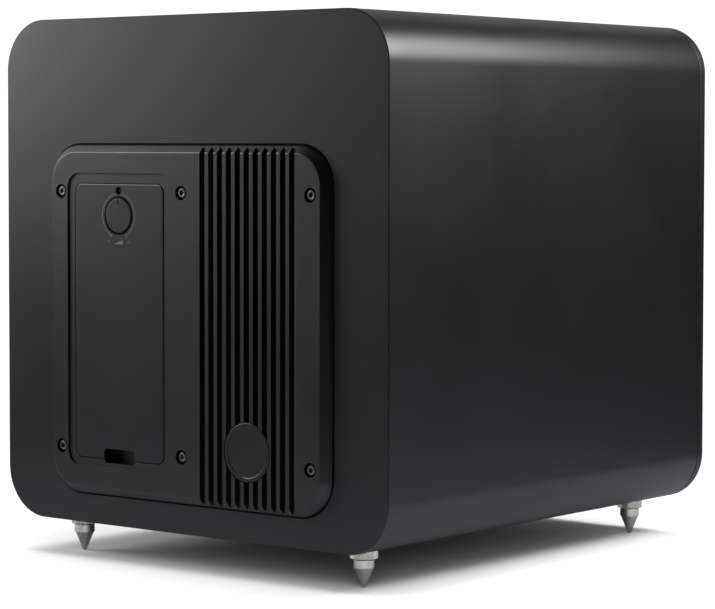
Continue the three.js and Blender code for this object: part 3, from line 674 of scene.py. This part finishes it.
COV_W = _v1[0] - _v0[0]
cover = loops("cover_skin", [cov(i, y) for i, y in rounded([(0, COV_BACK), (0, COV_FACE), (5, COV_FACE)], [0, 0.62, 0], 5)])
carve(cover, [prism("tmp_plug", rr(WELL_W - 1, WELL_HI - WELL_LO - 1, 3.5, COL, (WELL_LO + WELL_HI) / 2, nc=5, ns=1), COV_BACK - 2, COV_BACK + 0.5)], "UNION")
for z in (FOOT + 58, FOOT + 148):
    carve(cover, [lathe("tmp_boss", [(0, COV_BACK - 4.4), (5.6, COV_BACK - 4.4), (5.6, COV_BACK - 0.2), (0, COV_BACK - 0.2)], 32, COL, z)], "UNION")
cuts = [lathe("tmp_mag", [(0, COV_BACK - 5), (4.3, COV_BACK - 5), (4.3, COV_BACK - 1.4), (0, COV_BACK - 1.4)], 32, COL, z) for z in (FOOT + 58, FOOT + 148)]
cuts.append(lathe("tmp_kh", [(0, COV_BACK - 5), (10.35, COV_BACK - 5), (10.35, COV_FACE + 1), (0, COV_FACE + 1)], 96, COL, KNOB_Z))
cuts.append(lathe("tmp_led", [(0, COV_BACK - 5), (2.05, COV_BACK - 5), (2.05, COV_FACE + 1), (0, COV_FACE + 1)], 32, COL, LED_Z))
cuts.append(prism("tmp_cn", rr(NOTCH_W, 2 * (NOTCH_HI - COV_LO), 2.2, COL, COV_LO, nc=6, ns=1), COV_BACK - 5, COV_FACE + 1))
carve(cover, cuts)
edges(cover, 0.2, 2, 50)
done(cover, "cover", M_COVER.m, ["cover_panel"], 35)
for n in ("cover_magnet_lower", "cover_magnet_upper"):
    c = centre(n)
    y0, y1 = COV_BACK - 4.3, COV_BACK - 1.7
    g = lathe(n + "_disc", [(0, y0)] + rounded([(3, y0), (4, y0), (4, y1), (3, y1)], 0.3, 3) + [(0, y1)], 48, c[0], c[2])
    done(g, "cover", M_BRIGHT.m, [n], 40)

# printed dial: a ring broken at the lamp and at the bottom, end ticks, numerals and a small ramp
INK = COV_FACE + 0.02


def arc_strip(name, r0, r1, a0, a1, n, y=INK, x=COL, z=KNOB_Z):
    v, f = [], []
    for k in range(n + 1):
        a = math.radians(a0 + (a1 - a0) * k / n)
        v += [(x + r0 * math.cos(a), y, z + r0 * math.sin(a)), (x + r1 * math.cos(a), y, z + r1 * math.sin(a))]
        v += [(x + r0 * math.cos(a), y - 0.06, z + r0 * math.sin(a)), (x + r1 * math.cos(a), y - 0.06, z + r1 * math.sin(a))]
    for k in range(n):
        a, b = 4 * k, 4 * k + 4
        f += [(a, a + 1, b + 1, b), (a + 2, b + 2, b + 3, a + 3), (a, b, b + 2, a + 2), (a + 1, a + 3, b + 3, b + 1)]
    f += [(0, 2, 3, 1), (4 * n, 4 * n + 1, 4 * n + 3, 4 * n + 2)]
    return mesh_from(name, v, f)


parts = [
    arc_strip("dial_ring_a", 11.7, 12.1, 90 + 12.5, 270 - 27, 48),
    arc_strip("dial_ring_b", 11.7, 12.1, 90 - 12.5, -90 + 27, 48),
]
for s in (-1, 1):
    a = math.radians(270 + s * 27)
    d, t = Vector((math.cos(a), math.sin(a))), Vector((-math.sin(a), math.cos(a)))
    p0, p1 = d * 11.5, d * 13.2
    q = [(p0 + t * 0.3), (p1 + t * 0.3), (p1 - t * 0.3), (p0 - t * 0.3)]
    parts.append(loops("dial_tick_%d" % (s + 1), [[(COL + w.x, INK - 0.06, KNOB_Z + w.y) for w in q], [(COL + w.x, INK + 0.01, KNOB_Z + w.y) for w in q]]))
# facing the plate, right is -X
tri = [(COL + 3.0, KNOB_Z - 15.3), (COL - 3.0, KNOB_Z - 15.3), (COL - 3.0, KNOB_Z - 13.1), (COL + 3.0, KNOB_Z - 15.0)]
parts.append(loops("dial_ramp", [at(tri, INK - 0.06), at(tri, INK)]))


def numeral(text, x, z, h):
    cu = bpy.data.curves.new("num_" + text, "FONT")
    cu.body, cu.size, cu.align_x, cu.align_y = text, h * 1.4 * MM, "CENTER", "CENTER"
    cu.extrude, cu.resolution_u = 0.03 * MM, 4
    ob = bpy.data.objects.new("dial_numeral_" + text, cu)
    scene.collection.objects.link(ob)
    ob.matrix_world = Matrix(((-1, 0, 0, x * MM), (0, 0, 1, (INK - 0.03) * MM), (0, 1, 0, z * MM), (0, 0, 0, 1)))
    bpy.context.view_layer.update()
    dg = bpy.context.evaluated_depsgraph_get()
    me = bpy.data.meshes.new_from_object(ob.evaluated_get(dg))
    me.transform(ob.matrix_world)
    bpy.data.objects.remove(ob)
    return weld(link("dial_numeral_" + text, me))


parts.append(numeral("0", COL + 7.4, KNOB_Z - 13.9, 1.7))
parts.append(numeral("10", COL - 7.4, KNOB_Z - 13.9, 1.7))
for p in parts:
    done(p, "cover", M_PRINT.m, (), 40, weighted=False)

# ------------------------------------------------------------------ level knob and lamp
TEETH = 60
kp = [(0, 143.4), (3.3, 143.4), (3.3, 130.0), (8.0, 130.0), (9.0, 131.0), (9.6, 133.2), (9.6, KNOB_FACE - 0.45), (9.5, KNOB_FACE - 0.26), (9.0, KNOB_FACE - 0.03), (8.85, KNOB_FACE), (0, KNOB_FACE)]


def knurl(i, k, r, h):
    return (r - (0.42 if (k // 2) % 2 else 0), h) if i in (5, 6, 7, 8) else (r, h)


knob = lathe("level_knob_turned", kp, TEETH * 4, COL, KNOB_Z, mod=knurl)
carve(knob, [prism("tmp_ptr", rr(0.7, 2.9, 0.32, COL, KNOB_Z + 7.3, nc=5, ns=1), KNOB_FACE - 0.7, KNOB_FACE + 1)])
done(knob, "level_dial", M_KNOB.m, ["level_knob"], 32)
lens = lathe("lamp_lens", [(0, 125.2), (1.75, 125.2), (1.75, YR + 2.4)] + [(1.75 * math.cos(math.radians(a)), YR + 2.4 + 0.9 * math.sin(math.radians(a))) for a in (20, 40, 60, 78)] + [(0, YR + 3.3)], 32, COL, LED_Z)
done(lens, "cabinet", M_LENS.m, ["led_lens"], 50)

# ------------------------------------------------------------------ spikes and lock nuts
for name in ("front_left", "front_right", "rear_left", "rear_right"):
    c = centre("spike_" + name)
    x, y = c[0], c[1]
    sp = rounded([(0, 0), (0.8, 0.0), (5.1, 10.3), (5.15, 10.45), (5.6, 10.5), (5.6, 14.7), (4.5, 14.75), (4.0, 14.9), (4.0, FOOT + 12.4), (0, FOOT + 12.4)],
                 [0, 0.35, 0.05, 0.02, 0.12, 0.12, 0.1, 0, 0.2, 0], 3)
    s = lathe("spike_turned_" + name, sp, 72, x, 0, "Z", cy=y)
    done(s, "spike_" + name, M_NICKEL.m, ["spike_" + name], 40)
    z0, z1 = 15.2, FOOT - 0.3
    prof = rounded([(4.4, z0), (6.9, z0), (7.3, z0 + 0.45), (7.3, z1 - 0.45), (6.9, z1), (4.4, z1)], [0, 0.15, 0.15, 0.15, 0.15, 0], 1)
    hi = [i for i, (r, h) in enumerate(prof) if r > 7.0]

    def nutmod(i, k, r, h, hi=hi):
        return (r - (0.38 if (k // 2) % 2 else 0), h) if i in hi else (r, h)

    nut = lathe("lock_nut_knurled_" + name, prof, 44 * 4, x, 0, "Z", cy=y, closed=True, mod=nutmod)
    done(nut, "nut_" + name, M_NICKEL.m, ["lock_nut_" + name], 32)

# ------------------------------------------------------------------ driver, seen at the front


def D(pts):
    return [(r, DY + y) for r, y in pts]


basket = lathe("driver_frame", D(rounded([(100.3, 4.5), (100.3, 0.0), (110, 0.0), (110, 5), (96, 5), (96, 10), (62, 62), (62, 67), (32, 67), (32, 63.5), (58, 63.5), (58, 61), (61, 49), (61, 46),
                                          (69.5, 46), (93, 10), (93, 4.5)], [0, 0.4, 0.8, 0.3, 0.3, 1, 1, 0.5, 0.3, 0.3, 0.3, 1, 1, 0.5, 0.5, 1, 0], 3)), 144, 0, DZ, closed=True)
cuts = []
for k in range(6):
    w = boxmesh("tmp_win", -26, 26, DY + 13.5, DY + 33.5, 66, 126)
    w.data.transform(Matrix.Translation((0, 0, DZ * MM)) @ Matrix.Rotation(k * math.pi / 3, 4, "Y"))
    cuts.append(w)
for k in range(6):
    a = math.radians(30 + 60 * k)
    cuts.append(lathe("tmp_sh", [(0, DY - 1), (2.7, DY - 1), (2.7, DY + 6), (0, DY + 6)], 24, 105.2 * math.cos(a), DZ + 105.2 * math.sin(a)))
weld(carve(basket, cuts), 5e-6)
done(basket, "cabinet", M_FRAME.m, ["driver_basket"], 35)

gk = lathe("driver_edge_gasket", D(rounded([(94.6, 0.4), (99.8, 0.4), (99.8, 3.1), (94.6, 3.1)], 0, 1)), 144, 0, DZ, closed=True)
edges(gk, 0.4, 3, 50)
done(gk, "cabinet", M_SEAL.m, ["driver_gasket"], 40)

# surround: half roll between frame and cone
R_MID, R_ROLL, T_S = 84.9, 9.1, 0.8
top, low = [], []
for k in range(29):
    a = math.pi * k / 28
    top.append((R_MID + R_ROLL * math.cos(a), 3.4 - 8.6 * math.sin(a)))
    low.append((R_MID + (R_ROLL - T_S) * math.cos(a), 3.4 + 0.8 - 8.6 * math.sin(a)))
prof = [(99.6, 4.2), (99.6, 3.4), (96, 3.4)] + top + [(74.2, 3.4), (72.2, 3.4), (72.2, 4.2), (74.2, 4.2)] + low[::-1] + [(96, 4.2)]
sur = lathe("surround_roll", D(prof), 168, 0, DZ, closed=True)
smooth(sur, 50, False)
sur.data.materials.append(M_RUBBER.m)
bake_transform(sur)
co = np.array([v.co for v in sur.data.vertices], float) / MM
rad = np.hypot(co[:, 0], co[:, 2] - DZ)
t = np.clip((94.0 - rad) / (94.0 - 75.8), 0, 1)
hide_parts("surround")

cn = rounded([(75.2, 4.6), (73.6, 4.4), (71.2, 4.6), (38, 25.0), (26.6, 31.8)], [0, 0.3, 1.5, 0, 0], 4)
cone = lathe("cone_fibre_shell", D(cn + [(26.6, 33.8), (38, 26.9), (71.8, 6.4), (75.2, 6.2)]), 144, 0, DZ, closed=True)
done(cone, "cone_assembly", M_CONE.m, ["cone"], 35)
cap = [(38.0 * math.sin(math.radians(a)), 24 - 10 * math.cos(math.radians(a))) for a in range(0, 91, 6)]
under = [(r * 0.965, y + 1.0) for r, y in cap[::-1]]
lipo = [(38.6, 24.6), (37.6, 25.2)]
dc = lathe("dust_cap_dome", D(cap[:-1] + [(38.0, 23.8)] + lipo + under[1:]), 128, 0, DZ)
done(dc, "cone_assembly", M_CONE.m, ["dust_cap"], 45)
# spider: corrugated cloth, glued to the frame seat outside and to the voice coil former inside
wave = [(69.0, 45.4), (66.5, 45.4), (63.6, 45.3)]
for k in range(73):
    wave.append((62.6 - 31.6 * k / 72, 44.9 - 1.2 * math.sin(2 * math.pi * 6 * k / 72)))
wave += [(29.6, 44.9), (27.6, 44.8), (26.75, 44.4), (26.7, 43.4)]
under = []
for k, (r, y) in enumerate(wave):
    a, b = wave[max(0, k - 1)], wave[min(len(wave) - 1, k + 1)]
    d = Vector((b[0] - a[0], b[1] - a[1])).normalized()
    under.append((r + d.y * 0.4, y - d.x * 0.4))
web = lathe("spider_cloth", D(wave + under[::-1]), 120, 0, DZ, closed=True)
smooth(web, 60, False)
web.data.materials.append(M_SPIDER.m)
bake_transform(web)
co = np.array([v.co for v in web.data.vertices], float) / MM
t = np.clip((64.0 - np.hypot(co[:, 0], co[:, 2] - DZ)) / (64.0 - 30.0), 0, 1)
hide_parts("spider")

for k in range(6):
    a = math.radians(30 + 60 * k)
    x, z = 105.2 * math.cos(a), DZ + 105.2 * math.sin(a)
    s = lathe("frame_screw_%d" % (k + 1), [(0, DY + 13), (1.6, DY + 13), (2.2, DY + 12), (2.2, DY - 0.3)] + rounded([(3.9, DY - 0.3), (3.9, DY - 3), (0, DY - 3)], [0, 0.7, 0], 3), 48, x, z)
    hexa = [(x + 1.9 * math.cos(math.radians(60 * q + 17 * k)), z + 1.9 * math.sin(math.radians(60 * q + 17 * k))) for q in range(6)]
    carve(s, [prism("tmp_hex", hexa, DY - 4, DY - 1.2)])
    edges(s, 0.12, 2, 50)
    done(s, "cabinet", M_SCREW.m, ["driver_screw_%d" % (k + 1)], 40)

# ------------------------------------------------------------------ wadding under the top wall
(wx0, wy0, wz0), (wx1, wy1, wz1) = mmbox("damping_pad_top")
GX, GY = 96, 56
verts, faces = [], []
for face in (0, 1):
    for i in range(GX + 1):
        for j in range(GY + 1):
            u, v = 2 * i / GX - 1, 2 * j / GY - 1
            e = min(1 - abs(u), (1 - abs(v)) * (wy1 - wy0) / (wx1 - wx0)) * (wx1 - wx0) / 2
            pull = math.sqrt(max(0.0, 1 - (1 - min(1.0, e / 9.0)) ** 2))
            wob = 2.2 * noise.noise(Vector((u * 3.1, v * 2.3, 7.0)))
            x = (wx0 + wx1) / 2 + u * ((wx1 - wx0) / 2 - 2.4 + wob * abs(u) ** 6)
            y = (wy0 + wy1) / 2 + v * ((wy1 - wy0) / 2 - 2.4 + wob * abs(v) ** 6)
            lump = 1.5 * noise.noise(Vector((x / 21, y / 21, 3.0))) + 0.7 * noise.noise(Vector((x / 8, y / 8, 9.0)))
            depth = (0.42 + 0.46 * pull) * (wz1 - wz0) + pull * lump - pull * 1.2 * abs(math.sin(math.pi * u * 2)) ** 12
            verts.append((x, y, wz1 - (0.05 + 3.2 * (1 - pull)) if face else max(wz0 + 0.2, wz1 - depth)))
    off = face * (GX + 1) * (GY + 1)
    for i in range(GX):
        for j in range(GY):
            a = off + i * (GY + 1) + j
            faces.append((a, a + 1, a + GY + 2, a + GY + 1))
rim = [(i, 0) for i in range(GX)] + [(GX, j) for j in range(GY)] + [(GX - i, GY) for i in range(GX)] + [(0, GY - j) for j in range(GY)]
ids = [i * (GY + 1) + j for i, j in rim]
off = (GX + 1) * (GY + 1)
for k in range(len(ids)):
    a, b = ids[k], ids[(k + 1) % len(ids)]
    faces.append((a, b, b + off, a + off))
pad = mesh_from("wadding_pad", verts, faces)
done(pad, "cabinet", M_WAD.m, ["damping_pad_top"], 60, weighted=False)

# ------------------------------------------------------------------ CAD pieces that stay, with their own finish
KEEP = {
    "cabinet_brace": M_MDF, "control_well": M_PLASTIC, "mains_inlet": M_PLASTIC,
    "power_rocker": M_ROCKER, "rca_jack_left": M_BRIGHT, "rca_jack_right": M_BRIGHT, "trigger_jack": M_BRIGHT, "crossover_pot": M_ZINC,
    "crossover_knob": M_KNOB, "phase_switch": M_ZINC, "phase_slider": M_ROCKER, "level_pot": M_ZINC, "amp_enclosure": M_FRAME,
    "amp_pcb": M_BOARD, "mains_transformer": M_COPPER, "reservoir_capacitor": M_PLASTIC, "magnet_top_plate": M_ZINC, "driver_magnet": M_FERRITE,
    "magnet_yoke": M_ZINC, "voice_coil": M_COPPER, "driver_terminal": M_PLASTIC,
}
for n, m in KEEP.items():
    ob = NODES[n]
    ob.data.materials.clear()
    ob.data.materials.append(m.m)

# ------------------------------------------------------------------ floor, world and lights
fl = lathe("floor", [(0, 0), (300, 0), (700, 0), (1500, 0)], 64, 0, 0, "Z")
M_FLOOR = Mat("floor_white", (0.86, 0.86, 0.86), 0.65)
M_FLOOR.vary_color(M_FLOOR.noise(0.6, 2), (0.87, 0.87, 0.87))
# the table top fades into the white sweep behind it
_len = M_FLOOR.node("ShaderNodeVectorMath", operation="LENGTH")
M_FLOOR.wire(M_FLOOR.co, _len.inputs[0])
_fade = M_FLOOR.node("ShaderNodeMapRange", interpolation_type="SMOOTHSTEP")
_fade.inputs["From Min"].default_value, _fade.inputs["From Max"].default_value = 0.26, 0.66
_fade.inputs["To Min"].default_value, _fade.inputs["To Max"].default_value = 1.0, 0.0
M_FLOOR.wire(_len.outputs["Value"], _fade.inputs["Value"])
M_FLOOR.wire(_fade.outputs["Result"], M_FLOOR.b.inputs["Alpha"])
_seen = M_FLOOR.node("ShaderNodeMix", data_type="RGBA")
_seen.inputs["A"].default_value = (0.37, 0.36, 0.41, 1)
M_FLOOR.wire(M_FLOOR.node("ShaderNodeLightPath").outputs["Is Camera Ray"], _seen.inputs["Factor"])
M_FLOOR.wire(M_FLOOR.b.inputs["Base Color"].links[0].from_socket, _seen.inputs["B"])
M_FLOOR.wire(_seen.outputs["Result"], M_FLOOR.b.inputs["Base Color"])
fl.data.materials.append(M_FLOOR.m)
fl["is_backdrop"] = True

world = bpy.data.worlds.new("studio")
scene.world = world
world.use_nodes = True
wt = world.node_tree
wt.nodes.clear()
env = wt.nodes.new("ShaderNodeBackground")
env.inputs["Color"].default_value = (1, 1, 1, 1)
env.inputs["Strength"].default_value = 0.04
bg = wt.nodes.new("ShaderNodeBackground")
bg.inputs["Color"].default_value = (1, 1, 1, 1)
bg.inputs["Strength"].default_value = 1.1
lp = wt.nodes.new("ShaderNodeLightPath")
mix = wt.nodes.new("ShaderNodeMixShader")
wo = wt.nodes.new("ShaderNodeOutputWorld")
wt.links.new(lp.outputs["Is Camera Ray"], mix.inputs[0])
wt.links.new(env.outputs[0], mix.inputs[1])
wt.links.new(bg.outputs[0], mix.inputs[2])
wt.links.new(mix.outputs[0], wo.inputs["Surface"])

MID = Vector((0, 0, 0.157))


def softbox(name, az, el, dist, size, power, color=(1, 1, 1), size_y=None, only=None):
    """Studio softbox at an azimuth, elevation and distance from the middle of the object, aimed at it."""
    a, e = math.radians(az), math.radians(el)
    loc = MID + Vector((math.cos(a) * math.cos(e), math.sin(a) * math.cos(e), math.sin(e))) * dist
    li = bpy.data.lights.new(name, "AREA")
    li.energy, li.color, li.size = power, color, size
    if size_y:
        li.shape, li.size_y = "RECTANGLE", size_y
    ob = bpy.data.objects.new(name, li)
    scene.collection.objects.link(ob)
    ob.location = loc
    ob.rotation_euler = (MID - loc).to_track_quat("-Z", "Y").to_euler()
    ob.visible_camera = False
    if only is not None:
        ob.light_linking.receiver_collection = only
    return ob


# the floor has its own overhead light, as a white table lit from above does
table = bpy.data.collections.new("table_light")
table.objects.link(fl)
softbox("table_top", 35, 84, 2.4, 2.4, 98, only=table)
softbox("table_fill", 129, 16, 2.0, 1.2, 29, only=table)
softbox("key_left", 30, 16, 1.0, 0.38, 4.2, (1.0, 0.985, 0.975))
softbox("key_left_wide", 49, 15, 1.3, 0.7, 1.3, (1.0, 0.985, 0.975))
softbox("rim_right_a", 210, 32, 0.62, 0.25, 1.9, (0.985, 0.985, 1.0))
softbox("rim_right_b", 200, 34, 0.6, 0.25, 2.1, (0.985, 0.985, 1.0))
softbox("backdrop", 305, 24, 2.4, 2.0, 5.8)
softbox("top", 200, 66, 1.8, 0.9, 1.6)

# white cards low down that only the bright metal mirrors
metal = bpy.data.collections.new("metal_card")
for o in bpy.data.objects:
    if o.name.startswith(("spike_turned_", "lock_nut_knurled_")):
        metal.objects.link(o)
softbox("card_right", 165, 4, 1.3, 1.1, 3.0, (1.0, 0.985, 0.96), size_y=0.5, only=metal)
softbox("card_left", 75, 4, 1.3, 0.6, 1.3, (1.0, 0.985, 0.96), size_y=0.5, only=metal)
brow = bpy.data.collections.new("plate_light")
for o in bpy.data.objects:
    if o.name.startswith(("plate_casting", "cover_skin", "badge_plate", "level_knob_turned", "plate_screw_")):
        brow.objects.link(o)
softbox("brow", 38, 36, 1.0, 0.2, 4.0, (1.0, 0.99, 0.98), only=brow)

scene.view_settings.view_transform = "Standard"
scene.view_settings.look = "None"
scene.view_settings.exposure = 0.0
scene.view_settings.gamma = 1.0

lo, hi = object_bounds()
